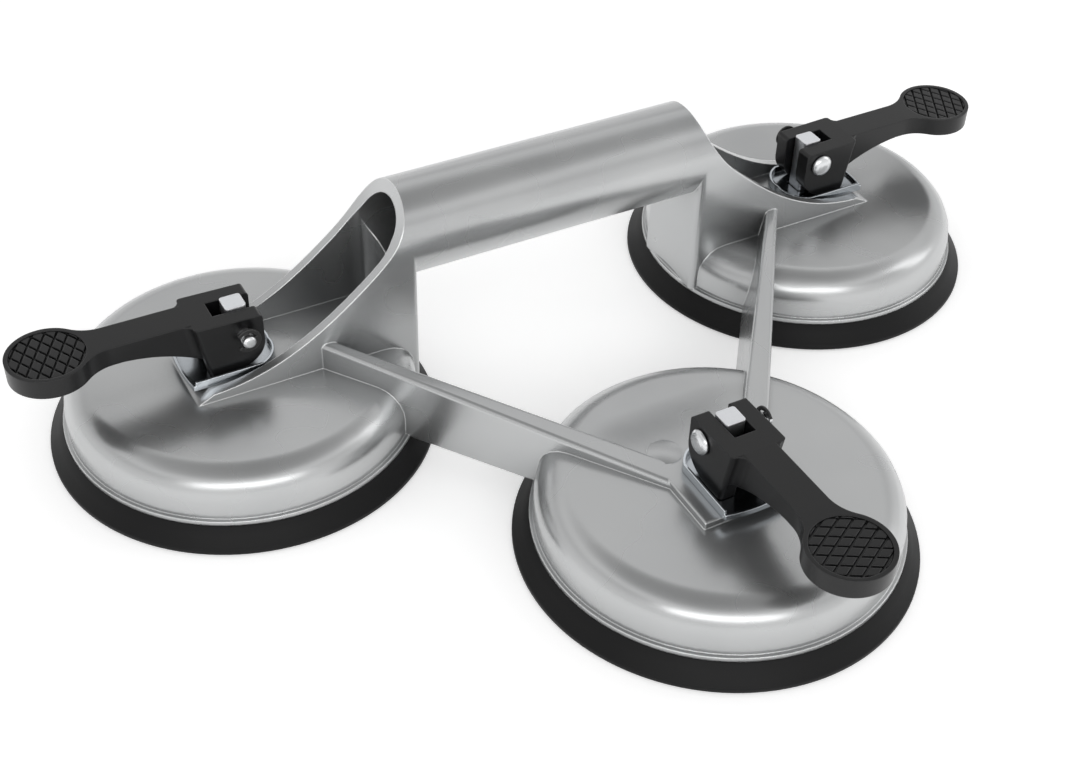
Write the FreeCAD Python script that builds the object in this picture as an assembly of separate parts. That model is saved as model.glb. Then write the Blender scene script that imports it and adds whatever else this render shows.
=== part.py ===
import FreeCAD, Part
import math
import os

# Three-cup suction lifter for tiles and glass: one aluminium die casting carries a tube
# handle and three hollow domes, and each dome holds a rubber cup worked by a cam lever.
# Units are millimetres. +Z is up, the rubber lips stand on z = 0, the handle runs along X,
# and the single front cup lies towards -Y.

V = FreeCAD.Vector

# ---- layout -------------------------------------------------------------------------
CUP_X = 103.2            # side cups, left and right of the middle
CUP_PITCH_Y = 108.1      # front cup, ahead of the handle line
RUBBER_R = 59.0          # outer edge of the rubber cup
LIP_H = 2.2              # height of that edge

# ---- dome casting -------------------------------------------------------------------
RIM_Z = 7.5              # lower edge of the dome, seated on the rubber
BEAD_R = 54.2            # bead round the lower edge
BEAD_H = 1.4
DOME_R = 53.0            # wall just above the bead
DOME_TOP = 23.6          # flat top
SHOULDER = 9.0
SHOULDER_BANDS = 5
WALL = 3.2
HOLLOW_R = 47.5
CEILING_Z = DOME_TOP - WALL

# ---- handle tube and horns ----------------------------------------------------------
TUBE_Z = 56.4
TUBE_R = 15.05
BORE_R = 11.0
CHANNEL_HALF = 12.0      # the scoop is a little wider than the bore
HORN_REACH = 53.2        # from the cup centre to the horn's inner end face
SCOOP_END = 18.2         # from the cup centre to the outer tip of the scoop
SCOOP_CORNER = 8.0
# rim of the scoop, from the tube's top down to the saddle: (towards the middle, z)
SCOOP_RIM = ((52.4, TUBE_Z + TUBE_R), (49.0, 63.0), (34.0, 47.0), (7.0, 30.3), (-13.0, 26.2))

# ---- seat for the saddle, ribs ------------------------------------------------------
SEAT_Z = 26.0
SEAT_HALF = 16.2
SEAT_OUT = 16.0
SEAT_BACK = 12.0
SEAT_RAMP = 32.0
RIB_T = (4.8, 8.0)        # top width, at the horn and at the front seat
RIB_LEAN = 2.8            # the inner face leans out this far at the foot
RIB_Z0 = 8.4
RIB_TOP = (32.6, SEAT_Z)                  # at the horn and at the front seat
RIB_START_X = 82.2                        # where its outer face meets the horn wall
RIB_END = (18.0, 4.1)                     # from the front cup centre: sideways, back
RIB_ROUND = 1.5

# ---- saddle plate -------------------------------------------------------------------
SHEET = 0.8
SADDLE_HALF = 11.0
SADDLE_IN = 10.0
SADDLE_OUT = 17.6
SADDLE_BOW = 1.1
SADDLE_CORNER = 6.2       # length of the rounded inner end
SADDLE_RIM = 2.2
SADDLE_LIP = 1.1

# ---- lever, pin, stem ---------------------------------------------------------------
PIN_Z = 39.8
PIN_R = 2.0
CAM_GAP = 0.3
CAM_DOWN = PIN_Z - SEAT_Z - SHEET - CAM_GAP      # pin axis to the sole, lever down
CAM_UP = 6.0                                     # pin axis to the heel, lever up
LEVER_SWING = math.radians(90)
CAM_PITCH = (CAM_DOWN - CAM_UP) / LEVER_SWING    # stem travel per radian
STROKE = CAM_DOWN - CAM_UP
FORK_HALF = 8.7
FORK_TOP = 5.6           # at the shoulder; the top falls to FORK_LOW at the open end
FORK_LOW = 5.0
FORK_ROUND = 1.2
EAR_FILLET = 2.6
FILLET_BANDS = 4
FORK_OUT = 14.4
SOLE_OUT = 11.2
SLOT_END = 7.4
WEB_BOTTOM = -6.2
NECK_HALF = 5.2
NECK_TOP = FORK_TOP
NECK_FILLET = 12.0
THUMB_X = 54.5
THUMB_R = 12.05
THUMB_TOP = 5.8
THUMB_T = 6.1
THUMB_RIM = 1.3
THUMB_DEPTH = 0.9
PIN_PLAY = 0.06
STEM_HALF = 3.2
STEM_PLAY = 0.25
STEM_TOP = 6.0           # above the pin axis
STEM_ROUND = 0.9
PIN_END = 13.8
CLIP_AT = 11.6           # near face of the clip's groove
HEAD_R = 3.8
HEAD_H = 2.0
CLIP_R = 3.9
CLIP_T = 0.7
GROOVE_R = 1.45
SIDE_PLAY = 0.25

# ---- under the dome -----------------------------------------------------------------
CROWN_Z = 11.5           # crown of the flexible rubber web, lever down
CROWN_R = 29.0
FOOT = 9.0               # half width of the stem's foot, bonded on the crown
FOOT_H = 2.0
GUIDE = 6.5              # half width of the guide under the ceiling
GUIDE_H = 1.6
WEB_R = 45.0             # outer edge of the web
WEB_Z = 1.8
WEB_T = 2.4
WEB_GAP = 0.3

LEVER_REACH = THUMB_X + THUMB_R
HANDLE_Y = (CUP_PITCH_Y + LEVER_REACH - RUBBER_R) / 2.0
CUPS = (("left", -CUP_X, HANDLE_Y, 180.0), ("right", CUP_X, HANDLE_Y, 0.0),
        ("front", 0.0, HANDLE_Y - CUP_PITCH_Y, -90.0))


# ---- helpers ------------------------------------------------------------------------
def line(a, b):
    return Part.LineSegment(V(*a), V(*b)).toShape()


def arc(a, m, b):
    return Part.Arc(V(*a), V(*m), V(*b)).toShape()


def spline(points):
    """Smooth curve through points."""
    curve = Part.BSplineCurve()
    curve.interpolate([V(*p) for p in points])
    return curve.toShape()


def polygon(points):
    """Closed wire through points."""
    return Part.makePolygon([V(*p) for p in points] + [V(*points[0])])


def prism(edges, direction):
    """Solid swept from a closed set of edges."""
    wire = edges if isinstance(edges, Part.Wire) else Part.Wire(edges)
    return Part.Face(wire).extrude(V(*direction))


def revolved(rz_edges):
    """Full turn about Z of a closed profile drawn in the XZ plane."""
    face = Part.Face(Part.Wire(rz_edges))
    return face.revolve(V(0, 0, 0), V(0, 0, 1), 360)


def chain(points):
    """Straight edges through (r, z) points, closed."""
    p3 = [(r, 0, z) for r, z in points]
    return [line(p3[i], p3[(i + 1) % len(p3)]) for i in range(len(p3))]


def box(x0, x1, y0, y1, z0, z1):
    return Part.makeBox(x1 - x0, y1 - y0, z1 - z0, V(x0, y0, z0))


def cyl(r, h, base, axis=(0, 0, 1)):
    return Part.makeCylinder(r, h, V(*base), V(*axis))


def at_cup(shape, x, y, turn):
    """Turn a cup-centred shape about Z and set it at its cup."""
    out = shape.copy()
    out.rotate(V(0, 0, 0), V(0, 0, 1), turn)
    out.translate(V(x, y, 0))
    return out


def edges_where(shape, test):
    return [e for e in shape.Edges if test(e)]


# ---- casting ------------------------------------------------------------------------
def dome_outer():
    """Outer form: bead, wall, shoulder rounded in bands, flat top."""
    pts = [(0, RIM_Z), (BEAD_R, RIM_Z), (BEAD_R, RIM_Z + BEAD_H), (DOME_R, RIM_Z + BEAD_H)]
    for i in range(SHOULDER_BANDS + 1):
        t = math.pi / 2 * i / SHOULDER_BANDS
        pts.append((DOME_R - SHOULDER * (1 - math.cos(t)),
                    DOME_TOP - SHOULDER * (1 - math.sin(t))))
    return revolved(chain(pts + [(0, DOME_TOP)]))


def dome_hollow():
    """Room under the dome, open below."""
    return cyl(HOLLOW_R, CEILING_Z - RIM_Z + 5, (0, 0, RIM_Z - 5))


def scoop_cut():
    """Everything above the scoop's rim line, in cup coordinates (-X towards the middle)."""
    y = -TUBE_R - 5
    rim = [(-u, y, z) for u, z in SCOOP_RIM]
    top = TUBE_Z + TUBE_R + 30
    far = SCOOP_END + 20
    edges = [spline(rim),
             line(rim[-1], (SCOOP_END, y, DOME_TOP)),
             line((SCOOP_END, y, DOME_TOP), (far, y, DOME_TOP)),
             line((far, y, DOME_TOP), (far, y, top)),
             line((far, y, top), (rim[0][0], y, top)),
             line((rim[0][0], y, top), rim[0])]
    return prism(edges, (0, 2 * TUBE_R + 10, 0))


def horn_outer():
    """U-shaped horn block that carries the tube down onto the dome."""
    block = box(-HORN_REACH, SCOOP_END, -TUBE_R, TUBE_R, RIB_Z0, TUBE_Z)
    corners = edges_where(block, lambda e: abs(e.Vertexes[0].X + HORN_REACH) < 0.01
                          and abs(e.Vertexes[1].X + HORN_REACH) < 0.01
                          and e.BoundBox.ZLength > 1)
    return block.makeFillet(2.0, corners)


def horn_channel():
    """Arched scoop between the horn walls, its inner corners round, its floor at the seat."""
    x0, x1, h = -HORN_REACH + WALL, SCOOP_END + 5, CHANNEL_HALF
    block = box(x0, x1, -h, h, SEAT_Z, TUBE_Z + h)
    corners = edges_where(block, lambda e: abs(e.Vertexes[0].X + HORN_REACH - WALL) < 0.01
                          and abs(e.Vertexes[1].X + HORN_REACH - WALL) < 0.01
                          and e.BoundBox.ZLength > 1)
    arch = [line((x0, -h, SEAT_Z), (x0, h, SEAT_Z)), line((x0, h, SEAT_Z), (x0, h, TUBE_Z)),
            arc((x0, h, TUBE_Z), (x0, 0, TUBE_Z + h), (x0, -h, TUBE_Z)),
            line((x0, -h, TUBE_Z), (x0, -h, SEAT_Z))]
    return block.makeFillet(SCOOP_CORNER, corners).common(prism(arch, (x1 - x0, 0, 0)))


def front_seat():
    """Raised seat on the front dome; its back end runs out into the top as a ramp."""
    z0 = DOME_TOP - 1.5
    pts = [(SEAT_OUT, -SEAT_HALF, z0), (SEAT_OUT, -SEAT_HALF, SEAT_Z),
           (-SEAT_BACK, -SEAT_HALF, SEAT_Z), (-SEAT_RAMP, -SEAT_HALF, z0 + 1.0),
           (-SEAT_RAMP, -SEAT_HALF, z0)]
    seat = prism(polygon(pts), (0, 2 * SEAT_HALF, 0))
    rims = edges_where(seat, lambda e: abs(e.BoundBox.ZMax - SEAT_Z) < 0.01
                       and abs(e.BoundBox.ZMin - SEAT_Z) < 0.01
                       and e.BoundBox.XMax > -SEAT_BACK + 0.1)
    return seat.makeFillet(0.6, rims)


def rib(side):
    """Bar from a horn wall to the front seat; side is -1 on the left, +1 on the right."""
    front_y = HANDLE_Y - CUP_PITCH_Y
    a = V(side * RIB_START_X, HANDLE_Y - TUBE_R, 0)
    b = V(side * RIB_END[0], front_y + RIB_END[1], 0)
    run = b - a
    length = run.Length
    d = V(run.x / length, run.y / length, 0)
    n = V(-side * abs(d.y), abs(d.x), 0)
    wall_y = HANDLE_Y - CHANNEL_HALF - 1.0
    near0 = a - d * ((wall_y - a.y) / -d.y)
    i0, i1 = a + n * RIB_T[0], b + n * RIB_T[1]
    e = (i1 - i0) * (1.0 / (i1 - i0).Length)
    inner0 = i0 - e * ((wall_y - i0.y) / -e.y)
    near1, inner1 = b + d * 5.0, i1 + e * 5.0
    z_lo, z_hi = RIB_Z0 - 4, RIB_TOP[0] + 4
    lean = RIB_LEAN / (RIB_TOP[1] - RIB_Z0)
    sections = []
    for z in (z_lo, z_hi):
        out = n * (lean * (RIB_TOP[1] - z))
        sections.append(polygon([(p.x, p.y, z) for p in
                                 (near0, near1, inner1 + out, inner0 + out)]))
    bar = Part.makeLoft(sections, True, True)
    s0, s1 = a - d * 12 - n * 5, b + d * 12 - n * 5
    slope = (RIB_TOP[0] - RIB_TOP[1]) / length
    edges = polygon([(s0.x, s0.y, RIB_Z0), (s1.x, s1.y, RIB_Z0),
                     (s1.x, s1.y, RIB_TOP[1] - slope * 12), (s0.x, s0.y, RIB_TOP[0] + slope * 12)])
    bar = bar.common(prism(edges, tuple(n * (RIB_T[1] + RIB_LEAN + 10))))
    bar = bar.Solids[0]
    tops = edges_where(bar, lambda e: e.BoundBox.DiagonalLength > length * 0.8
                       and e.BoundBox.ZMin > RIB_Z0 + 5)
    return bar.makeFillet(RIB_ROUND, tops)


def stem_guide():
    """Boss under the ceiling that guides the stem."""
    return box(-GUIDE, GUIDE, -GUIDE, GUIDE, CEILING_Z - GUIDE_H, CEILING_Z + 1)


def frame_casting():
    tube_len = 2 * (CUP_X - HORN_REACH) + 2 * (HORN_REACH - 30)
    solid = cyl(TUBE_R, tube_len, (-tube_len / 2, HANDLE_Y, TUBE_Z), (1, 0, 0))
    adds, cuts = [], []
    bore = cyl(BORE_R, tube_len + 20, (-tube_len / 2 - 10, HANDLE_Y, TUBE_Z), (1, 0, 0))
    for name, x, y, turn in CUPS:
        if name == "front":
            adds.append(at_cup(front_seat(), x, y, turn))
        else:
            adds.append(at_cup(horn_outer(), x, y, turn))
            cuts.append(at_cup(horn_channel(), x, y, turn))
            cuts.append(at_cup(scoop_cut(), x, y, turn))
    adds += [rib(-1), rib(1)]
    solid = solid.multiFuse(adds)
    solid = solid.cut(cuts + [bore])
    domes = [at_cup(dome_outer(), x, y, turn) for name, x, y, turn in CUPS]
    solid = solid.multiFuse(domes)
    solid = solid.cut([at_cup(dome_hollow(), x, y, turn) for name, x, y, turn in CUPS])
    solid = solid.multiFuse([at_cup(stem_guide(), x, y, turn) for name, x, y, turn in CUPS])
    h = STEM_HALF + STEM_PLAY
    holes = [at_cup(box(-h, h, -h, h, CEILING_Z - 5, SEAT_Z + 5), x, y, turn)
             for name, x, y, turn in CUPS]
    return solid.cut(holes).removeSplitter()


# ---- rubber -------------------------------------------------------------------------
def rubber_cup():
    """Moulded lip ring: thin edge, sloping flange up to the dome's rim, open in the middle."""
    inner = WEB_R + WEB_GAP
    return revolved(chain([(RUBBER_R, 0.0), (RUBBER_R, LIP_H), (BEAD_R, RIM_Z),
                           (inner, RIM_Z), (inner, 0.0)]))


def rubber_web():
    """Flexible middle of the cup: thin skirt and thick crown, hollow below, lever down."""
    return revolved(chain([(0, CROWN_Z - WEB_T), (CROWN_R - 3, CROWN_Z - WEB_T),
                           (CROWN_R - 3, WEB_Z), (WEB_R, WEB_Z), (WEB_R, WEB_Z + WEB_T),
                           (CROWN_R, WEB_Z + WEB_T), (CROWN_R, CROWN_Z), (0, CROWN_Z)]))


# ---- stem side ----------------------------------------------------------------------
def pull_stem():
    """Square zinc stem on a wide foot, with the pin's cross hole."""
    top = PIN_Z + STEM_TOP
    bar = box(-STEM_HALF, STEM_HALF, -STEM_HALF, STEM_HALF, CROWN_Z, top)
    tall = edges_where(bar, lambda e: e.BoundBox.ZLength > 5)
    bar = bar.makeFillet(STEM_ROUND, tall)
    foot = box(-FOOT, FOOT, -FOOT, FOOT, CROWN_Z, CROWN_Z + FOOT_H)
    hole = cyl(PIN_R, 30, (0, -15, PIN_Z), (0, 1, 0))
    return bar.fuse(foot).cut(hole).removeSplitter()


def pivot_pin():
    """Headed pin with a groove for the clip."""
    head0 = -FORK_HALF - SIDE_PLAY
    g0, g1 = CLIP_AT, CLIP_AT + CLIP_T + 0.1
    pin = revolved(chain([(0, head0 - HEAD_H), (HEAD_R * 0.6, head0 - HEAD_H),
                          (HEAD_R, head0 - HEAD_H * 0.4), (HEAD_R, head0), (PIN_R, head0),
                          (PIN_R, g0), (GROOVE_R, g0), (GROOVE_R, g1), (PIN_R, g1),
                          (PIN_R, PIN_END), (0, PIN_END)]))
    pin.rotate(V(0, 0, 0), V(1, 0, 0), -90)
    pin.translate(V(0, 0, PIN_Z))
    return pin


def e_clip():
    """Three-pronged retaining clip in the pin's groove, open towards the lever's arm."""
    y0 = CLIP_AT + 0.05
    ring = cyl(CLIP_R, CLIP_T, (0, y0, PIN_Z), (0, 1, 0))
    ring = ring.cut(cyl(CLIP_R - 1.2, CLIP_T + 2, (0, y0 - 1, PIN_Z), (0, 1, 0)))
    prong = box(-CLIP_R + 0.6, 0, y0, y0 + CLIP_T, PIN_Z - 0.8, PIN_Z + 0.8)
    prongs = []
    for angle in (0, 100, -100):
        p = prong.copy()
        p.rotate(V(0, 0, PIN_Z), V(0, 1, 0), angle)
        prongs.append(p)
    clip = ring.multiFuse(prongs)
    clip = clip.cut(cyl(GROOVE_R, CLIP_T + 2, (0, y0 - 1, PIN_Z), (0, 1, 0)))
    mouth = polygon([(0, y0 - 1, PIN_Z), (9, y0 - 1, PIN_Z + 7), (9, y0 - 1, PIN_Z - 7)])
    clip = clip.cut(prism(mouth, (0, CLIP_T + 2, 0)))
    return clip.removeSplitter()


def saddle_plate():
    """Pressed zinc-plated tray that the cam's sole bears on."""
    def outline(inset, z):
        h = SADDLE_HALF - inset
        x0 = -SADDLE_IN + inset
        x1 = SADDLE_OUT - inset
        xb = x0 + SADDLE_CORNER - inset
        c = 0.70710678
        return [line((xb, -h, z), (x1, -h, z)),
                arc((x1, -h, z), (x1 + SADDLE_BOW, 0, z), (x1, h, z)),
                line((x1, h, z), (xb, h, z)),
                arc((xb, h, z), (xb - (xb - x0) * c, h * c, z), (x0, 0, z)),
                arc((x0, 0, z), (xb - (xb - x0) * c, -h * c, z), (xb, -h, z))]
    z = SEAT_Z
    tray = prism(outline(0, z), (0, 0, SHEET + SADDLE_RIM))
    tray = tray.cut(prism(outline(SHEET, z + SHEET), (0, 0, SADDLE_RIM + 5)))
    tray = tray.cut(box(SADDLE_OUT - SHEET, 40, -40, 40, z + SHEET + SADDLE_LIP, z + 20))
    h = STEM_HALF + STEM_PLAY
    return tray.cut(box(-h, h, -h, h, z - 5, z + 20)).removeSplitter()


# ---- lever --------------------------------------------------------------------------
def cam_point(theta):
    """Involute-type heel: the flat sole's height above the seat falls evenly with the swing."""
    p = CAM_DOWN - CAM_PITCH * theta
    s, c = math.sin(theta), math.cos(theta)
    return (-p * s + CAM_PITCH * c, -p * c - CAM_PITCH * s)


def lever_fork():
    """Cam block seen from the side, pin axis at the origin, then slotted for the stem."""
    y = -FORK_HALF
    heel = [(px, y, pz) for px, pz in (cam_point(LEVER_SWING * i / 4.0) for i in range(5))]
    end = heel[4]
    knee = (-CAM_UP, y, FORK_LOW - FORK_ROUND)
    crown = (-CAM_UP + FORK_ROUND, y, FORK_LOW)
    bend = (-CAM_UP + 0.29 * FORK_ROUND, y, FORK_LOW - 0.29 * FORK_ROUND)
    edges = [arc(*heel[:3]), arc(*heel[2:]), line(end, knee), arc(knee, bend, crown),
             line(crown, (FORK_OUT, y, FORK_TOP)),
             line((FORK_OUT, y, FORK_TOP), (SOLE_OUT, y, -CAM_DOWN)),
             line((SOLE_OUT, y, -CAM_DOWN), (heel[0][0], y, -CAM_DOWN))]
    fork = prism(edges, (0, 2 * FORK_HALF, 0))
    far = edges_where(fork, lambda e: e.BoundBox.XMin > SOLE_OUT - 0.1 and e.BoundBox.ZLength > 5)
    return fork.makeFillet(FORK_ROUND, far)


def ear_fillet(side):
    """Concave corner, in bands, between the neck's side and the fork's slanted outer face."""
    r, z, y = EAR_FILLET, NECK_TOP - 0.1, NECK_HALF
    lean = (FORK_OUT - SOLE_OUT) / (FORK_TOP + CAM_DOWN)
    x = FORK_OUT - (FORK_TOP - z) * lean
    points = []
    for i in range(FILLET_BANDS + 1):
        t = math.pi / 2 * i / FILLET_BANDS
        points.append((x + r * (1 - math.sin(t)), side * (y + r * (1 - math.cos(t))), z))
    points += [(x - 0.5, side * (y + r), z), (x - 0.5, side * (y - 0.5), z),
               (x + r, side * (y - 0.5), z)]
    fall = z - WEB_BOTTOM
    return prism(polygon(points), (-fall * lean, 0, -fall))


def lever_arm():
    """Neck and thumb disc: plan outline crossed with the arched side profile."""
    r, f = THUMB_R, NECK_FILLET
    lift = NECK_HALF + f
    dx = math.sqrt((r + f) ** 2 - lift ** 2)
    cx = THUMB_X - dx
    tx, ty = THUMB_X - dx * r / (r + f), lift * r / (r + f)
    ang = math.atan2(ty - lift, tx - cx)
    am = (ang - math.pi / 2) / 2
    mx, my = cx + f * math.cos(am), lift + f * math.sin(am)
    x0 = SLOT_END
    z = -20
    edges = [line((x0, -NECK_HALF, z), (cx, -NECK_HALF, z)),
             arc((cx, -NECK_HALF, z), (mx, -my, z), (tx, -ty, z)),
             arc((tx, -ty, z), (THUMB_X + r, 0, z), (tx, ty, z)),
             arc((tx, ty, z), (mx, my, z), (cx, NECK_HALF, z)),
             line((cx, NECK_HALF, z), (x0, NECK_HALF, z)),
             line((x0, NECK_HALF, z), (x0, -NECK_HALF, z))]
    plan = prism(edges, (0, 0, 40))
    y = -20
    under = THUMB_TOP - THUMB_T
    side = [line((x0, y, FORK_LOW), (FORK_OUT, y, NECK_TOP)),
            line((FORK_OUT, y, NECK_TOP), (THUMB_X - r - 3, y, THUMB_TOP)),
            line((THUMB_X - r - 3, y, THUMB_TOP), (THUMB_X + r + 5, y, THUMB_TOP)),
            line((THUMB_X + r + 5, y, THUMB_TOP), (THUMB_X + r + 5, y, under)),
            line((THUMB_X + r + 5, y, under), (35.0, y, under)),
            arc((35.0, y, under), (23.0, y, under - 2.4), (SOLE_OUT + 1.5, y, WEB_BOTTOM - 1.2)),
            line((SOLE_OUT + 1.5, y, WEB_BOTTOM - 1.2), (x0, y, WEB_BOTTOM)),
            line((x0, y, WEB_BOTTOM), (x0, y, FORK_LOW))]
    arm = plan.common(prism(side, (0, 40, 0))).Solids[0]
    recess = cyl(r - THUMB_RIM, 5, (THUMB_X, 0, THUMB_TOP - THUMB_DEPTH))
    return arm.cut(recess)


def lever():
    body = lever_fork().multiFuse([lever_arm(), ear_fillet(1), ear_fillet(-1)])
    slot = STEM_HALF + STEM_PLAY
    body = body.cut(box(-20, SLOT_END, -slot, slot, -30, 20))
    under = box(SLOT_END - 1, SOLE_OUT + 4, -slot - 0.5, slot + 0.5, -30, WEB_BOTTOM)
    body = body.cut(under)
    body = body.cut(cyl(PIN_R + PIN_PLAY, 40, (0, -20, 0), (0, 1, 0))).removeSplitter()
    body.translate(V(0, 0, PIN_Z))
    return body


# ---- write --------------------------------------------------------------------------
def main():
    os.makedirs("parts", exist_ok=True)
    parts = [("frame_casting", frame_casting())]
    kinds = (("rubber_cup", rubber_cup()), ("rubber_web", rubber_web()),
             ("pull_stem", pull_stem()), ("saddle_plate", saddle_plate()),
             ("lever", lever()), ("pivot_pin", pivot_pin()), ("e_clip", e_clip()))
    for cup, x, y, turn in CUPS:
        for kind, shape in kinds:
            parts.append((cup + "_" + kind, at_cup(shape, x, y, turn)))
    for name, shape in parts:
        shape = shape.Solids[0] if len(shape.Solids) == 1 else shape
        print(name, len(shape.Solids), shape.isValid(), round(shape.Volume / 1000.0, 2),
              [round(v, 2) for v in (shape.BoundBox.XMin, shape.BoundBox.XMax,
                                     shape.BoundBox.YMin, shape.BoundBox.YMax,
                                     shape.BoundBox.ZMin, shape.BoundBox.ZMax)])
        shape.exportStep("parts/" + name + ".step")
    print("stroke", round(STROKE, 3), "pitch mm/rad", round(CAM_PITCH, 4))


main()
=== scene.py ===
import math

import bmesh
import bpy
from mathutils import Matrix, Vector


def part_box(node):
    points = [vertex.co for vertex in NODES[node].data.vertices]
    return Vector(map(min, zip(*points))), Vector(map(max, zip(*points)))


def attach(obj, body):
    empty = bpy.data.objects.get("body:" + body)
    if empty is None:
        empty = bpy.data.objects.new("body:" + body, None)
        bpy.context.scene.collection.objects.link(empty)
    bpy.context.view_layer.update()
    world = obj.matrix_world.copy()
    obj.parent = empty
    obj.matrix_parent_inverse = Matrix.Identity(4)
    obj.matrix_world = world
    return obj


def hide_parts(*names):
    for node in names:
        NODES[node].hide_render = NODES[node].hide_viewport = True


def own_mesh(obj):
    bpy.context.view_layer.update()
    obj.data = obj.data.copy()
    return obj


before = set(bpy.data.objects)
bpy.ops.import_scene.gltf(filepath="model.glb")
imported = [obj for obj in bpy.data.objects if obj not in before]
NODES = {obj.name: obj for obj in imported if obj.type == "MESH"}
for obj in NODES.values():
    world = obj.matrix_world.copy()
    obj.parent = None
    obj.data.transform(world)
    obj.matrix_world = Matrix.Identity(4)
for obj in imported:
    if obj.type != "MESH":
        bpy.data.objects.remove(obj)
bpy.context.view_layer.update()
CUPS = ("left", "right", "front")
TURN = {"left": math.pi, "right": 0.0, "front": -math.pi / 2}

# ---- sizes, in metres -----------------------------------------------------------------
FOOT_GAP = 0.0001            # between a stem's foot and the crown of the rubber
SEAL_RIBS, SEAL_PITCH, SEAL_DEPTH = 4, 0.0026, 0.0006
LIP_WIDTH, LIP_SEAT, LIP_HEIGHT = 0.0137, 0.0048, 0.0022
SKIN, SKIRT_WIDTH, SKIRT_STEPS = 0.0024, 0.0165, 12
SHANK_R, GROOVE_R, GROOVE_HALF = 0.002, 0.00145, 0.0004
PIN_CHAMFER = (0.0006, 0.0005)
THUMB_R, THUMB_RIM, THUMB_DEPTH = 0.01205, 0.0013, 0.0009
PIN_HEAD_R, THUMB_RISE = 0.0038, 0.0058
THUMB_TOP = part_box("left_pivot_pin")[0].z + PIN_HEAD_R + THUMB_RISE
STUD_LIFT, STUD_PLAY = 0.0002, 0.0001
SEAT_RISE, SEAT_BACK, SEAT_FLUSH = 0.0024, 0.012, 0.014
BLEND_REACH, BLEND_HALF, RIB_SPREAD = 0.024, 0.0192, 0.722
BLEND_ROWS, BLEND_DIP = 32, 0.004
EJECTOR_AT, EJECTOR_R, EJECTOR_RISE = (-0.0112, 0.0132), 0.0052, 0.0001


def cup_middle(cup):
    """Middle of a cup on the surface that it stands on."""
    lo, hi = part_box(cup + "_rubber_cup")
    return Vector(((lo.x + hi.x) / 2, (lo.y + hi.y) / 2, 0.0))


# ---- shader node helpers --------------------------------------------------------------
def new_material(name):
    """A named material, its node tree and its Principled node."""
    mat = bpy.data.materials.new(name)
    mat.use_nodes = True
    nt = mat.node_tree
    return mat, nt, nt.nodes["Principled BSDF"]


def add(nt, kind, **values):
    """A node with its properties and input values set."""
    node = nt.nodes.new(kind)
    for key, value in values.items():
        if hasattr(node, key):
            setattr(node, key, value)
        else:
            node.inputs[key.replace("_", " ")].default_value = value
    return node


def ramp(nt, source, stops):
    """Colour ramp from (position, grey or colour) stops."""
    node = nt.nodes.new("ShaderNodeValToRGB")
    r = node.color_ramp
    while len(r.elements) < len(stops):
        r.elements.new(0.5)
    for e, (p, v) in zip(r.elements, stops):
        e.position = p
        e.color = (v, v, v, 1) if isinstance(v, (int, float)) else (*v, 1)
    nt.links.new(source, node.inputs[0])
    return node.outputs["Color"]


def group(name, inputs, outputs):
    """An empty shader group with named sockets."""
    g = bpy.data.node_groups.new(name, "ShaderNodeTree")
    for n, t, d in inputs:
        s = g.interface.new_socket(n, in_out="INPUT", socket_type=t)
        s.default_value = d
    for n, t in outputs:
        g.interface.new_socket(n, in_out="OUTPUT", socket_type=t)
    return g, g.nodes.new("NodeGroupInput"), g.nodes.new("NodeGroupOutput")


def place(nt, g, **values):
    """The group set into a material with its own values."""
    node = nt.nodes.new("ShaderNodeGroup")
    node.node_tree = g
    for k, v in values.items():
        node.inputs[k.replace("_", " ")].default_value = v
    return node


def math_node(nt, op, a, b=None, clamp=False):
    """Result of one Math node on numbers or sockets."""
    n = nt.nodes.new("ShaderNodeMath")
    n.operation = op
    n.use_clamp = clamp
    for i, v in enumerate((a, b)):
        if v is None:
            continue
        if isinstance(v, (int, float)):
            n.inputs[i].default_value = v
        else:
            nt.links.new(v, n.inputs[i])
    return n.outputs[0]


# ---- shared groups: painted edge highlight, fine grain, painted shade in hollows -------
def edge_normal_and_highlight_group():
    """Mask that is 1 on sharp outer edges, from the difference of true and rounded normals, for a painted
    highlight there; the rounded normal goes out too.
    """
    g, gi, go = group("rounded_edges_and_painted_highlight", [("Radius", "NodeSocketFloat", 0.0006)],
                      [("Mask", "NodeSocketFloat"), ("Normal", "NodeSocketVector")])
    bevel = g.nodes.new("ShaderNodeBevel")
    bevel.samples = 6
    geo = g.nodes.new("ShaderNodeNewGeometry")
    dot = g.nodes.new("ShaderNodeVectorMath")
    dot.operation = "DOT_PRODUCT"
    g.links.new(gi.outputs["Radius"], bevel.inputs["Radius"])
    g.links.new(bevel.outputs[0], dot.inputs[0])
    g.links.new(geo.outputs["Normal"], dot.inputs[1])
    m = math_node(g, "SUBTRACT", 0.992, dot.outputs["Value"])
    m = math_node(g, "MULTIPLY", m, 7.0, clamp=True)
    g.links.new(m, go.inputs["Mask"])
    g.links.new(bevel.outputs[0], go.inputs["Normal"])
    return g


def grain_group():
    """Fine grain and gentle waves as heights, and a slow unevenness as a mask."""
    g, gi, go = group("cast_grain", [("Scale", "NodeSocketFloat", 900.0),
                                     ("Slow", "NodeSocketFloat", 30.0),
                                     ("Wave", "NodeSocketFloat", 60.0)],
                      [("Height", "NodeSocketFloat"), ("Mask", "NodeSocketFloat"),
                       ("Waves", "NodeSocketFloat")])
    co = g.nodes.new("ShaderNodeTexCoord")
    for scale, detail, result in (("Scale", 4, "Height"), ("Slow", 2, "Mask"), ("Wave", 1, "Waves")):
        n = g.nodes.new("ShaderNodeTexNoise")
        n.inputs["Detail"].default_value = detail
        g.links.new(co.outputs["Object"], n.inputs["Vector"])
        g.links.new(gi.outputs[scale], n.inputs["Scale"])
        g.links.new(n.outputs["Fac"], go.inputs[result])
    return g


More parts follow.
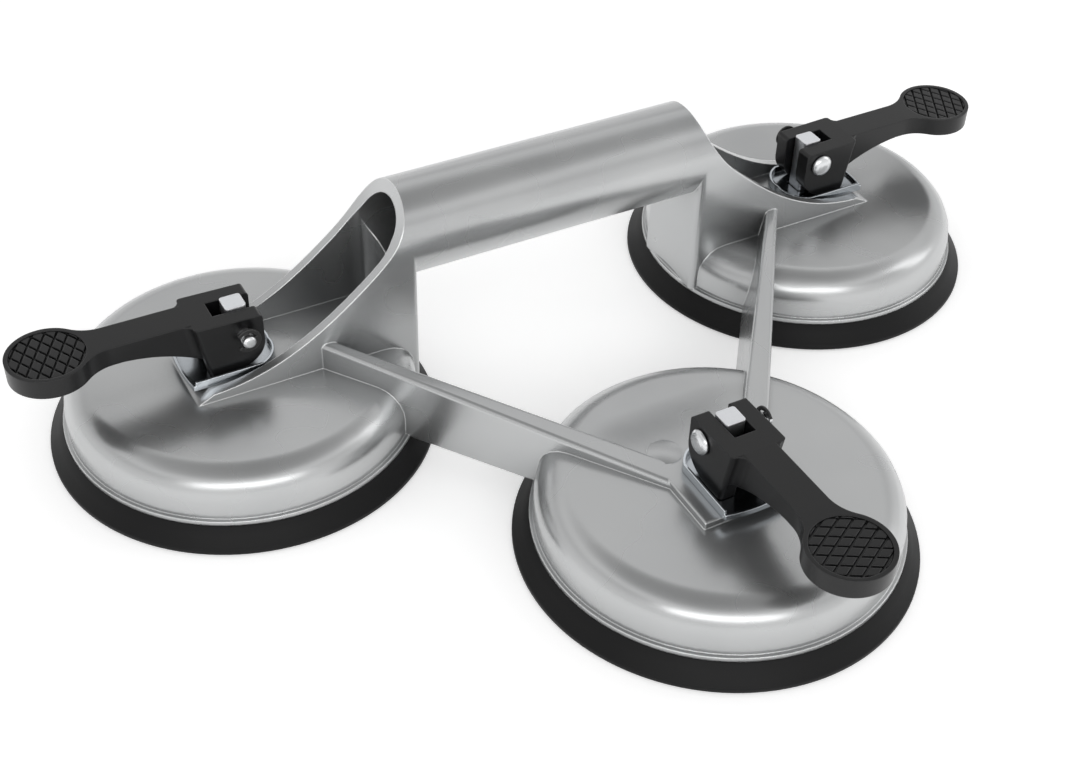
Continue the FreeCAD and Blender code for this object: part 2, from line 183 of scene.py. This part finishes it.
def painted_shade_group():
    """Painted shade: a factor that is 1 on open surfaces and falls in deep hollows and behind other parts,
    where shade falls.
    """
    g, gi, go = group("painted_hollow_shade", [("Reach", "NodeSocketFloat", 0.03),
                                         ("Deepest", "NodeSocketFloat", 0.5)],
                      [("Factor", "NodeSocketFloat")])
    shade = g.nodes.new("ShaderNodeAmbientOcclusion")
    shade.samples = 8
    g.links.new(gi.outputs["Reach"], shade.inputs["Distance"])
    spread = g.nodes.new("ShaderNodeMapRange")
    spread.interpolation_type = "SMOOTHSTEP"
    spread.inputs["From Min"].default_value = 0.15
    spread.inputs["From Max"].default_value = 0.8
    g.links.new(shade.outputs["AO"], spread.inputs["Value"])
    g.links.new(gi.outputs["Deepest"], spread.inputs["To Min"])
    g.links.new(spread.outputs["Result"], go.inputs["Factor"])
    return g


EDGE_NORMAL_AND_HIGHLIGHT, GRAIN, PAINTED_HOLLOW_SHADE = edge_normal_and_highlight_group(), grain_group(), painted_shade_group()


def tone_with_edge_highlight(nt, edge_highlight_mask, unevenness, low, high, edge):
    """Colour that wanders between two tones and turns to a lighter edge colour, a painted highlight, on
    sharp edges.
    """
    tone = ramp(nt, unevenness, [(0.0, low), (1.0, high)])
    mix = nt.nodes.new("ShaderNodeMix")
    mix.data_type = "RGBA"
    nt.links.new(edge_highlight_mask, mix.inputs["Factor"])
    nt.links.new(tone, mix.inputs["A"])
    mix.inputs["B"].default_value = (*edge, 1)
    return mix.outputs["Result"]


def relief(nt, height, normal, strength, distance):
    """Normal with a fine height laid over it."""
    bump = add(nt, "ShaderNodeBump", Strength=strength, Distance=distance)
    nt.links.new(height, bump.inputs["Height"])
    nt.links.new(normal, bump.inputs["Normal"])
    return bump.outputs["Normal"]


def metal(name, low, high, rough, edge, bump=0.02, waves=0.1, radius=0.0006, metallic=1.0):
    """Metal finish: slow patches, gentle waves, fine grain, a painted highlight on edges, painted shade in
    hollows.
    """
    mat, nt, bsdf = new_material(name)
    e = place(nt, EDGE_NORMAL_AND_HIGHLIGHT, Radius=radius)
    n = place(nt, GRAIN, Slow=28.0)
    # Painted shade: the colour darkens in hollows and behind other parts.
    hollow = place(nt, PAINTED_HOLLOW_SHADE, Deepest=0.55)
    shaded = nt.nodes.new("ShaderNodeVectorMath")
    shaded.operation = "SCALE"
    tone = tone_with_edge_highlight(nt, e.outputs["Mask"], n.outputs["Mask"], low, high, edge)
    nt.links.new(tone, shaded.inputs[0])
    nt.links.new(hollow.outputs["Factor"], shaded.inputs["Scale"])
    nt.links.new(shaded.outputs[0], bsdf.inputs["Base Color"])
    r = ramp(nt, n.outputs["Mask"], [(0.0, rough - 0.07), (1.0, rough + 0.07)])
    nt.links.new(r, bsdf.inputs["Roughness"])
    wavy = relief(nt, n.outputs["Waves"], e.outputs["Normal"], waves, 0.0002)
    nt.links.new(relief(nt, n.outputs["Height"], wavy, bump, 0.0005), bsdf.inputs["Normal"])
    bsdf.inputs["Metallic"].default_value = metallic
    return mat


def moulded(name, low, high, rough, edge, specular=0.5):
    """Black moulded plastic or rubber: slight mottling, fine grain, a faint painted highlight on edges."""
    mat, nt, bsdf = new_material(name)
    e = place(nt, EDGE_NORMAL_AND_HIGHLIGHT, Radius=0.0005)
    n = place(nt, GRAIN, Scale=1500.0, Slow=60.0)
    tone = tone_with_edge_highlight(nt, e.outputs["Mask"], n.outputs["Mask"], low, high, edge)
    nt.links.new(tone, bsdf.inputs["Base Color"])
    r = ramp(nt, n.outputs["Mask"], [(0.0, rough - 0.08), (1.0, rough + 0.08)])
    nt.links.new(r, bsdf.inputs["Roughness"])
    grain = relief(nt, n.outputs["Height"], e.outputs["Normal"], 0.06, 0.0003)
    nt.links.new(grain, bsdf.inputs["Normal"])
    bsdf.inputs["Specular IOR Level"].default_value = specular
    return mat


# The last colour of each finish is a painted highlight that its sharp edges turn to.
FINISH = {
    "casting": metal("satin_cast_aluminium", (0.455, 0.465, 0.47), (0.585, 0.59, 0.59), 0.27,
                     (0.92, 0.93, 0.93), bump=0.006, waves=0.8, metallic=0.86),
    "zinc": metal("sheared_zinc", (0.80, 0.82, 0.85), (0.92, 0.93, 0.95), 0.40,
                  (0.95, 0.95, 0.97), bump=0.3),
    "zinc_plate": metal("zinc_plated_sheet", (0.62, 0.66, 0.70), (0.72, 0.76, 0.80), 0.2,
                        (0.92, 0.94, 0.97), radius=0.0003),
    "pin_steel": metal("zinc_plated_pin", (0.70, 0.71, 0.72), (0.80, 0.81, 0.82), 0.28, (0.85, 0.86, 0.87),
                       radius=0.0002),
    "lever_plastic": moulded("black_lever_plastic", (0.004, 0.004, 0.0043), (0.008, 0.008, 0.0084), 0.32,
                             (0.03, 0.03, 0.031), specular=0.38),
    "rubber": moulded("black_cup_rubber", (0.0045, 0.0045, 0.0048), (0.0075, 0.0075, 0.0078), 0.5,
                      (0.035, 0.035, 0.036), specular=0.2),
    "clip_black": moulded("black_oxide_clip", (0.01, 0.01, 0.01), (0.016, 0.016, 0.016), 0.3,
                          (0.06, 0.06, 0.06)),
}


# ---- mesh helpers ---------------------------------------------------------------------
def linked(name, mesh):
    """A new object in the scene."""
    obj = bpy.data.objects.new(name, mesh)
    bpy.context.scene.collection.objects.link(obj)
    return obj


def plain_mesh(obj):
    """Apply the object's modifiers and leave it as a plain mesh."""
    graph = bpy.context.evaluated_depsgraph_get()
    mesh = bpy.data.meshes.new_from_object(obj.evaluated_get(graph))
    obj.modifiers.clear()
    obj.data = mesh
    mesh.name = obj.name
    return obj


def set_smoothing(mesh, limit):
    """Smooth over bends below the limit, but keep a fold between two many-sided faces sharp."""
    bm = bmesh.new()
    bm.from_mesh(mesh)
    for f in bm.faces:
        f.smooth = True
    for e in bm.edges:
        flat = e.is_manifold and min(len(f.verts) for f in e.link_faces) > 6
        bend = math.degrees(e.calc_face_angle(0.0)) if e.is_manifold else 180
        e.smooth = bend < (2 if flat else limit)
    bm.to_mesh(mesh)
    bm.free()


def cad_skin(node, bevel=0.0, limit=32.0):
    """The node's own shape with its facets joined into faces and, if asked, its edges rounded."""
    mesh = NODES[node].data.copy()
    obj = linked(node + "_skin", mesh)
    bm = bmesh.new()
    bm.from_mesh(mesh)
    bmesh.ops.remove_doubles(bm, verts=bm.verts, dist=2e-6)
    bmesh.ops.dissolve_limit(bm, angle_limit=math.radians(0.3), verts=bm.verts, edges=bm.edges)
    bm.to_mesh(mesh)
    bm.free()
    mesh.materials.clear()
    if bevel:
        mod = obj.modifiers.new("round_edges", "BEVEL")
        mod.width, mod.segments, mod.limit_method = bevel, 2, "ANGLE"
        mod.angle_limit = math.radians(limit)
        mod.miter_outer = "MITER_ARC"
        plain_mesh(obj)
    set_smoothing(obj.data, limit)
    wn = obj.modifiers.new("weighted", "WEIGHTED_NORMAL")
    wn.keep_sharp, wn.weight = True, 90
    return plain_mesh(obj)


def rounded(points, radius, steps=3, closed=False):
    """The same outline with its corners turned into short curves."""
    out = []
    n = len(points)
    for i, p in enumerate(points):
        if not closed and i in (0, n - 1):
            out.append(p)
            continue
        p = Vector(p)
        a, b = Vector(points[i - 1]), Vector(points[(i + 1) % n])
        ra = min(radius, (a - p).length * 0.45)
        rb = min(radius, (b - p).length * 0.45)
        a, b = p + (a - p).normalized() * ra, p + (b - p).normalized() * rb
        for k in range(steps + 1):
            t = k / steps
            out.append(tuple(a * (1 - t) ** 2 + p * 2 * t * (1 - t) + b * t * t))
    return out


def lathe(name, profile, matrix, turns=96, closed=False):
    """Turned piece: (radius, height) points swept round the local Z axis."""
    bm = bmesh.new()
    rings = []
    for r, h in profile:
        if r < 1e-7:
            rings.append([bm.verts.new((0, 0, h))] * turns)
            continue
        rings.append([bm.verts.new((r * math.cos(2 * math.pi * k / turns),
                                    r * math.sin(2 * math.pi * k / turns), h)) for k in range(turns)])
    pairs = list(zip(rings, rings[1:])) + ([(rings[-1], rings[0])] if closed else [])
    for low, high in pairs:
        for k in range(turns):
            m = (k + 1) % turns
            corners = [low[k], low[m], high[m], high[k]]
            face = [v for i, v in enumerate(corners) if v not in corners[:i]]
            if len(face) > 2:
                bm.faces.new(face)
    bmesh.ops.recalc_face_normals(bm, faces=bm.faces)
    mesh = bpy.data.meshes.new(name)
    bm.to_mesh(mesh)
    bm.free()
    mesh.transform(matrix)
    set_smoothing(mesh, 40)
    return linked(name, mesh)


def finish(obj, body, material, *nodes):
    """Paint a piece, let it move with its body and stand for its CAD nodes."""
    obj.data.materials.clear()
    obj.data.materials.append(FINISH[material])
    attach(obj, body)
    if nodes:
        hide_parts(*nodes)
    return obj


# ---- front dome ----------------------------------------------------------------------
def blend_height(x, back):
    """Height above the dome's top, flush with the seat behind it and fading to nothing."""
    d = math.hypot(max(abs(x) - SEAT_FLUSH, 0.0), back)
    return SEAT_RISE * (0.5 + 0.5 * math.cos(math.pi * min(d / BLEND_REACH, 1.0)))


def seat_blend():
    """Smooth rise of the front dome's top to the level of the seat, from rib to rib."""
    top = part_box("front_saddle_plate")[0].z
    middle = cup_middle("front")
    bm = bmesh.new()
    rows = []
    for i in range(BLEND_ROWS + 1):
        back = BLEND_REACH * i / BLEND_ROWS
        half = BLEND_HALF + RIB_SPREAD * back
        row = []
        for k in range(-BLEND_ROWS, BLEND_ROWS + 1):
            x = half * k / BLEND_ROWS
            z = top - SEAT_RISE + blend_height(x, back) * (1 + BLEND_DIP) - BLEND_DIP * SEAT_RISE
            row.append(bm.verts.new((middle.x + x, middle.y + SEAT_BACK + back, z)))
        rows.append(row)
    flat = top - SEAT_RISE * (1 + BLEND_DIP) + 1e-7
    for near, far in zip(rows, rows[1:]):
        for k in range(2 * BLEND_ROWS):
            corners = (near[k], near[k + 1], far[k + 1], far[k])
            if max(v.co.z for v in corners) > flat:
                bm.faces.new(corners).smooth = True
    mesh = bpy.data.meshes.new("front_seat_blend")
    bm.to_mesh(mesh)
    bm.free()
    finish(linked("front_seat_blend", mesh), "frame", "casting")


def ejector_mark():
    """Faint round mark that an ejector pin leaves on the front dome, beside the left rib."""
    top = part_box("front_saddle_plate")[0].z
    x, back = EJECTOR_AT
    z = top - SEAT_RISE + blend_height(x, back - SEAT_BACK)
    profile = [(0.0, EJECTOR_RISE), (EJECTOR_R - 0.0002, EJECTOR_RISE), (EJECTOR_R, 0.0),
               (EJECTOR_R, -0.0006)]
    at = Matrix.Translation(cup_middle("front") + Vector((x, back, z)))
    mark = lathe("front_ejector_mark", profile, at, turns=64)
    finish(mark, "frame", "casting")


# ---- rubber ---------------------------------------------------------------------------
def rubber_ring(cup):
    """Lip ring: thin rounded edge, sloping flange, fine sealing ribs on its under side."""
    lo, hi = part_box(cup + "_rubber_cup")
    outer, rim = (hi.x - lo.x) / 2, hi.z
    inner, seat, lip = outer - LIP_WIDTH, outer - LIP_SEAT, LIP_HEIGHT
    under = []
    for k in range(SEAL_RIBS):
        r = inner + 0.0014 + k * SEAL_PITCH
        under += [(r, 0.0), (r + SEAL_PITCH * 0.45, 0.0), (r + SEAL_PITCH * 0.55, SEAL_DEPTH),
                  (r + SEAL_PITCH * 0.9, SEAL_DEPTH)]
    outline = under + [(outer - 0.0012, 0.0), (outer, 0.0005), (outer, lip - 0.0003),
                       (outer - 0.0006, lip + 0.0003), (outer - 0.0026, lip + 0.0026),
                       (seat, rim), (inner, rim), (inner, 0.0)]
    ring = lathe(cup + "_rubber_ring", rounded(outline, 0.0003, 2, closed=True),
                 Matrix.Translation(cup_middle(cup)), turns=128, closed=True)
    finish(ring, "frame", "rubber", cup + "_rubber_cup")


def rubber_diaphragm(cup):
    """Flexible middle: a thick crown that runs out in a curved skirt, drawn up by the stem."""
    lo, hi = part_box(cup + "_rubber_web")
    edge, low, high = (hi.x - lo.x) / 2, lo.z, hi.z - FOOT_GAP
    crown = edge - SKIRT_WIDTH
    top, under = [(0.0, high)], [(0.0, high - SKIN)]
    for k in range(SKIRT_STEPS + 1):
        t = k / SKIRT_STEPS
        r = crown + (edge - 0.001 - crown) * t
        fall = (high - low - SKIN) * (0.5 - 0.5 * math.cos(math.pi * t))
        top.append((r, high - fall))
        under.append((r - 0.0012 * math.sin(math.pi * t), high - SKIN - fall))
    rim = [(edge, low + SKIN * 0.8), (edge, low + SKIN * 0.2)]
    web = lathe(cup + "_rubber_diaphragm", top + rim + under[::-1],
                Matrix.Translation(cup_middle(cup)), turns=96)
    finish(web, "frame", "rubber", cup + "_rubber_web")
    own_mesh(web)


# ---- turned pins ----------------------------------------------------------------------
def turned_pin(cup):
    """Zinc-plated pin: low domed head, shank, clip groove and chamfered end."""
    node = cup + "_pivot_pin"
    lo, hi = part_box(node)
    middle = (lo + hi) / 2
    across = Vector((0, 1, 0))
    across.rotate(Matrix.Rotation(TURN[cup], 3, "Z"))
    span = abs((hi - lo).dot(across))
    head_r = (hi.z - lo.z) / 2
    clip_lo, clip_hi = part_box(cup + "_e_clip")
    clip = ((clip_lo + clip_hi) / 2 - middle).dot(across) + span / 2
    profile = [(0.0, 0.0), (head_r * 0.3, 0.00005), (head_r * 0.58, 0.00025), (head_r * 0.82, 0.0007),
               (head_r * 0.97, 0.0013), (head_r, 0.0017), (head_r, 0.002), (SHANK_R, 0.002),
               (SHANK_R, clip - GROOVE_HALF), (GROOVE_R, clip - GROOVE_HALF),
               (GROOVE_R, clip + GROOVE_HALF), (SHANK_R, clip + GROOVE_HALF),
               (SHANK_R, span - PIN_CHAMFER[1]), (SHANK_R - PIN_CHAMFER[0], span), (0.0, span)]
    start = middle - across * span / 2
    turn = Vector((0, 0, 1)).rotation_difference(across).to_matrix().to_4x4()
    pin = lathe(cup + "_turned_pin", rounded(profile, 0.00012, 2),
                Matrix.Translation(start) @ turn, turns=48)
    finish(pin, cup + "_stem", "pin_steel", node)


# ---- thumb pad ------------------------------------------------------------------------
def stud_tree():
    """Lozenge studs in a sloping lattice, trimmed to the round recess of the thumb disc."""
    tree = bpy.data.node_groups.new("thumb_studs", "GeometryNodeTree")
    face = tree.interface
    for name, kind, value in (("Pitch", "NodeSocketFloat", 0.0033), ("Groove", "NodeSocketFloat", 0.0005),
                              ("Radius", "NodeSocketFloat", 0.0105), ("Height", "NodeSocketFloat", 0.0005),
                              ("Rows", "NodeSocketInt", 12), ("Material", "NodeSocketMaterial", None)):
        socket = face.new_socket(name, in_out="INPUT", socket_type=kind)
        if value is not None:
            socket.default_value = value
    face.new_socket("Geometry", in_out="OUTPUT", socket_type="NodeSocketGeometry")
    gi, go = tree.nodes.new("NodeGroupInput"), tree.nodes.new("NodeGroupOutput")
    link = tree.links.new

    def node(kind, **inputs):
        n = tree.nodes.new(kind)
        for key, value in inputs.items():
            socket = n.inputs[key.replace("_", " ")]
            if isinstance(value, bpy.types.NodeSocket):
                link(value, socket)
            else:
                socket.default_value = value
        return n

    def calc(op, a, b):
        n = tree.nodes.new("ShaderNodeMath")
        n.operation = op
        for socket, value in zip(n.inputs, (a, b)):
            if isinstance(value, bpy.types.NodeSocket):
                link(value, socket)
            else:
                socket.default_value = value
        return n.outputs[0]

    pitch, rows = gi.outputs["Pitch"], gi.outputs["Rows"]
    slope = math.sin(math.radians(60))
    side = calc("DIVIDE", pitch, slope)
    extent = calc("SUBTRACT", rows, 1.0)
    grid = node("GeometryNodeMeshGrid", Size_X=extent, Size_Y=extent, Vertices_X=rows, Vertices_Y=rows)
    at = tree.nodes.new("GeometryNodeInputPosition")
    split = node("ShaderNodeSeparateXYZ", Vector=at.outputs[0])
    u, v = split.outputs[0], split.outputs[1]
    across = calc("MULTIPLY", calc("ADD", u, v), calc("MULTIPLY", side, 0.5))
    along = calc("MULTIPLY", calc("SUBTRACT", u, v), calc("MULTIPLY", side, slope))
    spot = node("ShaderNodeCombineXYZ", X=across, Y=along)
    lattice = node("GeometryNodeSetPosition", Geometry=grid.outputs["Mesh"], Position=spot.outputs[0])
    room = calc("SUBTRACT", side, calc("MULTIPLY", gi.outputs["Groove"], 2 / math.sqrt(3)))
    stud = node("GeometryNodeMeshCone", Vertices=4, Radius_Top=0.44, Radius_Bottom=0.5, Depth=1.0)
    size = node("ShaderNodeCombineXYZ", X=room, Y=calc("MULTIPLY", room, math.sqrt(3)),
                Z=gi.outputs["Height"])
    studs = node("GeometryNodeInstanceOnPoints", Points=lattice.outputs[0], Instance=stud.outputs["Mesh"],
                 Scale=size.outputs[0])
    whole = node("GeometryNodeRealizeInstances", Geometry=studs.outputs[0])
    disc = node("GeometryNodeMeshCylinder", Vertices=72, Radius=gi.outputs["Radius"], Depth=0.01)
    cut = tree.nodes.new("GeometryNodeMeshBoolean")
    cut.operation = "INTERSECT"
    cut.solver = "EXACT"
    link(whole.outputs[0], cut.inputs["Mesh 2"])
    link(disc.outputs["Mesh"], cut.inputs["Mesh 2"])
    real = node("GeometryNodeRealizeInstances", Geometry=cut.outputs["Mesh"])
    paint = node("GeometryNodeSetMaterial", Geometry=real.outputs[0], Material=gi.outputs["Material"])
    link(paint.outputs[0], go.inputs["Geometry"])
    return tree


def thumb_studs(cup, tree):
    """The studs of one thumb disc, set on the floor of its recess."""
    lo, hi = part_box(cup + "_lever")
    ahead = Vector((1, 0, 0))
    ahead.rotate(Matrix.Rotation(TURN[cup], 3, "Z"))
    reach = max((hi - cup_middle(cup)).dot(ahead), (lo - cup_middle(cup)).dot(ahead))
    obj = linked(cup + "_thumb_studs", bpy.data.meshes.new(cup + "_thumb_studs"))
    mod = obj.modifiers.new("studs", "NODES")
    mod.node_group = tree
    ids = {i.name: i.identifier for i in tree.interface.items_tree if i.in_out == "INPUT"}
    mod[ids["Radius"]] = THUMB_R - THUMB_RIM - STUD_PLAY
    mod[ids["Material"]] = FINISH["lever_plastic"]
    plain_mesh(obj)
    floor_z = THUMB_TOP - THUMB_DEPTH
    centre = cup_middle(cup) + ahead * (reach - THUMB_R) + Vector((0, 0, floor_z + STUD_LIFT))
    obj.data.transform(Matrix.Translation(centre) @ Matrix.Rotation(TURN[cup], 4, "Z"))
    finish(obj, cup + "_lever", "lever_plastic")


# ---- assembly -------------------------------------------------------------------------
finish(cad_skin("frame_casting"), "frame", "casting", "frame_casting")
seat_blend()
ejector_mark()
studs = stud_tree()
for cup in CUPS:
    rubber_ring(cup)
    rubber_diaphragm(cup)
    turned_pin(cup)
    finish(cad_skin(cup + "_pull_stem", 0.0003), cup + "_stem", "zinc", cup + "_pull_stem")
    finish(cad_skin(cup + "_e_clip", 0.0001), cup + "_stem", "clip_black", cup + "_e_clip")
    finish(cad_skin(cup + "_saddle_plate", 0.0002), "frame", "zinc_plate", cup + "_saddle_plate")
    finish(cad_skin(cup + "_lever", 0.00035), cup + "_lever", "lever_plastic", cup + "_lever")
    thumb_studs(cup, studs)


# ---- stage, light, camera --------------------------------------------------------------
def floor():
    """Pale floor that stays white in view and in reflections but takes the soft shadow."""
    me = bpy.data.meshes.new("floor")
    s = 6.0
    me.from_pydata([(-s, -s, 0), (s, -s, 0), (s, s, 0), (-s, s, 0)], [], [(0, 1, 2, 3)])
    obj = linked("floor", me)
    mat, nt, bsdf = new_material("pale_floor")
    bsdf.inputs["Base Color"].default_value = (0.93, 0.93, 0.93, 1)
    bsdf.inputs["Roughness"].default_value = 0.9
    bsdf.inputs["Specular IOR Level"].default_value = 0.1
    rays = nt.nodes.new("ShaderNodeLightPath")
    seen = math_node(nt, "MAXIMUM", rays.outputs["Is Camera Ray"], rays.outputs["Is Glossy Ray"])
    seen = math_node(nt, "MAXIMUM", seen, rays.outputs["Is Transmission Ray"])
    bsdf.inputs["Emission Color"].default_value = (1, 1, 1, 1)
    nt.links.new(math_node(nt, "MULTIPLY", seen, 0.38), bsdf.inputs["Emission Strength"])
    me.materials.append(mat)


def softbox(name, where, target, size, power):
    """Rectangular lamp turned to its target."""
    light = bpy.data.lights.new(name, "AREA")
    light.shape = "RECTANGLE"
    light.size, light.size_y = size
    light.energy = power
    obj = linked(name, light)
    obj.location = where
    obj.rotation_mode = "QUATERNION"
    obj.rotation_quaternion = (Vector(target) - Vector(where)).to_track_quat("-Z", "Y")
    return obj


def sky():
    """Soft pale and grey bands, darkest straight overhead, the same for every ray."""
    world = bpy.data.worlds.new("studio")
    bpy.context.scene.world = world
    world.use_nodes = True
    nt = world.node_tree
    bg = nt.nodes["Background"]
    co = nt.nodes.new("ShaderNodeTexCoord")
    sep = nt.nodes.new("ShaderNodeSeparateXYZ")
    nt.links.new(co.outputs["Generated"], sep.inputs[0])
    c = ramp(nt, sep.outputs["Z"], [(0.0, 0.92), (0.35, 0.86), (0.5, 0.62), (0.59, 0.66), (0.65, 0.93),
                               (0.73, 0.96), (0.87, 0.42), (1.0, 0.32)])
    nt.links.new(c, bg.inputs["Color"])


def camera():
    """Three-quarter view from the front left, looking down."""
    data = bpy.data.cameras.new("camera")
    cam = linked("camera", data)
    yaw, pitch, roll = 0.51595, 0.710786, 0.034331
    ahead = Vector((math.sin(yaw) * math.cos(pitch), math.cos(yaw) * math.cos(pitch), -math.sin(pitch)))
    side = Vector((math.cos(yaw), -math.sin(yaw), 0))
    up = side.cross(ahead)
    r = math.cos(roll) * side + math.sin(roll) * up
    u = -math.sin(roll) * side + math.cos(roll) * up
    p = Vector((-0.20699, -0.308745, 0.33346))
    cam.matrix_world = Matrix(((r.x, u.x, -ahead.x, p.x), (r.y, u.y, -ahead.y, p.y),
                               (r.z, u.z, -ahead.z, p.z), (0, 0, 0, 1)))
    data.sensor_width = 36
    data.lens = 53.284
    data.shift_x, data.shift_y = 0.0014, 0.0032
    data.clip_start = 0.01
    bpy.context.scene.camera = cam


floor()
sky()
softbox("front_box", (-0.6, -1.3, 0.8), (0, 0, 0.03), (1.8, 0.5), 6.5)
softbox("right_box", (1.5, -0.5, 0.9), (0, 0, 0.03), (0.5, 1.0), 2.2)
camera()
bpy.context.scene.view_settings.view_transform = "Standard"
